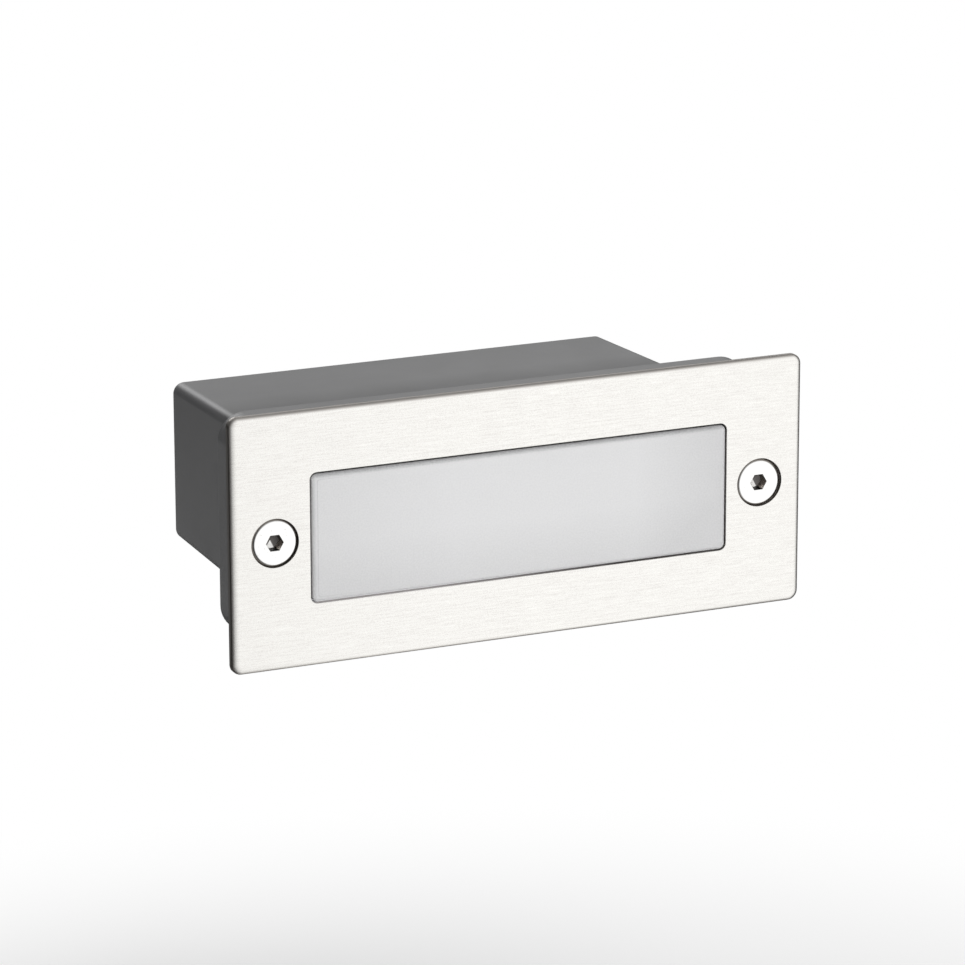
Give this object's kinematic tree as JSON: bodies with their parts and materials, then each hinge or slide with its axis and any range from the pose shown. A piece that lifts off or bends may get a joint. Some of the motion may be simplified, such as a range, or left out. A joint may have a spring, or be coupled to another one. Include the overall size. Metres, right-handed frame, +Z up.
{
  "type": "step light",
  "caption": "Recessed wall light: a brushed steel faceplate around an opal window, held by socket screws over a recess box with a draw-out lamp unit and a rear cable gland",
  "frame": {"origin": "centre of the faceplate's outline, on the plane of the wall's surface, where the wall gasket's back rests", "axes": "+X runs along the faceplate, to the right as seen by a viewer in front of it; +Y runs into the wall; +Z is up"},
  "size_m": [0.12, 0.0793, 0.05],
  "materials": {
    "moulded_box": "fine moulded grain",
    "brass": "turned",
    "gland_plastic": "moulded",
    "rubber_black": "matt",
    "seal_rubber": "matt",
    "white_plastic": "moulded",
    "white_gloss": "polished",
    "board_white": "solder mask",
    "phosphor": "clear gel over phosphor",
    "aluminium": "rolled",
    "screw_steel": "zinc plated",
    "board_green": "solder mask",
    "ferrite": "sintered",
    "sleeve_blue": "shrunk sleeve",
    "choke_wire": "enamelled copper",
    "chip_black": "moulded",
    "lead_red": "extruded",
    "terminal_plastic": "moulded",
    "opal": "satin opal",
    "brushed_plate": "brushed along its length",
    "polished_screw": "polished"
  },
  "bodies": {
    "recess_box": {"recess_box": "moulded_box", "threaded_inserts": "brass", "gland_body": "gland_plastic", "gland_washer": "rubber_black", "gland_locknut": "gland_plastic", "gland_seal": "seal_rubber"},
    "lamp_unit": {"lamp_tray": "white_plastic", "diffuser_seal": "seal_rubber", "reflector": "white_gloss", "led_board": "board_white", "led_packages": "phosphor", "heat_spreader": "aluminium", "led_board_screws": "screw_steel", "driver_board": "board_green", "driver_transformer": "ferrite", "driver_capacitors": "sleeve_blue", "driver_choke": "choke_wire", "driver_chips": "chip_black", "driver_board_screws": "screw_steel", "gear_cover": "white_plastic", "gear_cover_screws": "screw_steel", "lead_grommet": "rubber_black", "supply_leads": "lead_red", "led_leads": "lead_red", "terminal_block": "terminal_plastic", "terminal_tubes": "brass", "terminal_screws": "screw_steel", "terminal_block_screw": "screw_steel"},
    "diffuser": {"diffuser": "opal"},
    "faceplate": {"faceplate": "brushed_plate", "wall_gasket": "rubber_black", "front_gasket": "seal_rubber"},
    "left_retainer": {"left_screw_retainer": "white_plastic"},
    "left_screw": {"left_screw": "polished_screw"},
    "right_retainer": {"right_screw_retainer": "white_plastic"},
    "right_screw": {"right_screw": "polished_screw"},
    "gland_ring": {"gland_clamp_ring": "white_plastic"},
    "gland_nut": {"gland_nut": "gland_plastic"}
  },
  "joints": [
    {"name": "lamp_unit_slide", "type": "slide", "parent": "recess_box", "child": "lamp_unit", "axis": [0, -1, 0], "range_m": [0, 0.07]},
    {"name": "diffuser_slide", "type": "slide", "parent": "lamp_unit", "child": "diffuser", "axis": [0, -1, 0], "range_m": [0, 0.015]},
    {"name": "faceplate_slide", "type": "slide", "parent": "diffuser", "child": "faceplate", "axis": [0, -1, 0], "range_m": [0, 0.02]},
    {"name": "left_screw_travel", "type": "slide", "parent": "faceplate", "child": "left_retainer", "axis": [0, -1, 0], "range_m": [0, 0.0056]},
    {"name": "left_screw_turn", "type": "hinge", "parent": "left_retainer", "child": "left_screw", "pos_m": [-0.05096, 0, 0], "axis": [0, -1, 0], "range_deg": [0, 2521]},
    {"name": "right_screw_travel", "type": "slide", "parent": "faceplate", "child": "right_retainer", "axis": [0, -1, 0], "range_m": [0, 0.0056]},
    {"name": "right_screw_turn", "type": "hinge", "parent": "right_retainer", "child": "right_screw", "pos_m": [0.05096, 0, 0], "axis": [0, -1, 0], "range_deg": [0, 2521]},
    {"name": "gland_ring_travel", "type": "slide", "parent": "recess_box", "child": "gland_ring", "axis": [0, 1, 0], "range_m": [0, 0.0075]},
    {"name": "gland_nut_turn", "type": "hinge", "parent": "gland_ring", "child": "gland_nut", "pos_m": [0, 0.07, 0], "axis": [0, 1, 0], "range_deg": [0, 1801]}
  ],
  "couplings": [
    {"joint": "left_screw_turn", "follows": "left_screw_travel", "rad_per_m": 7854},
    {"joint": "right_screw_turn", "follows": "right_screw_travel", "rad_per_m": 7854},
    {"joint": "gland_nut_turn", "follows": "gland_ring_travel", "rad_per_m": 4188.8}
  ]
}
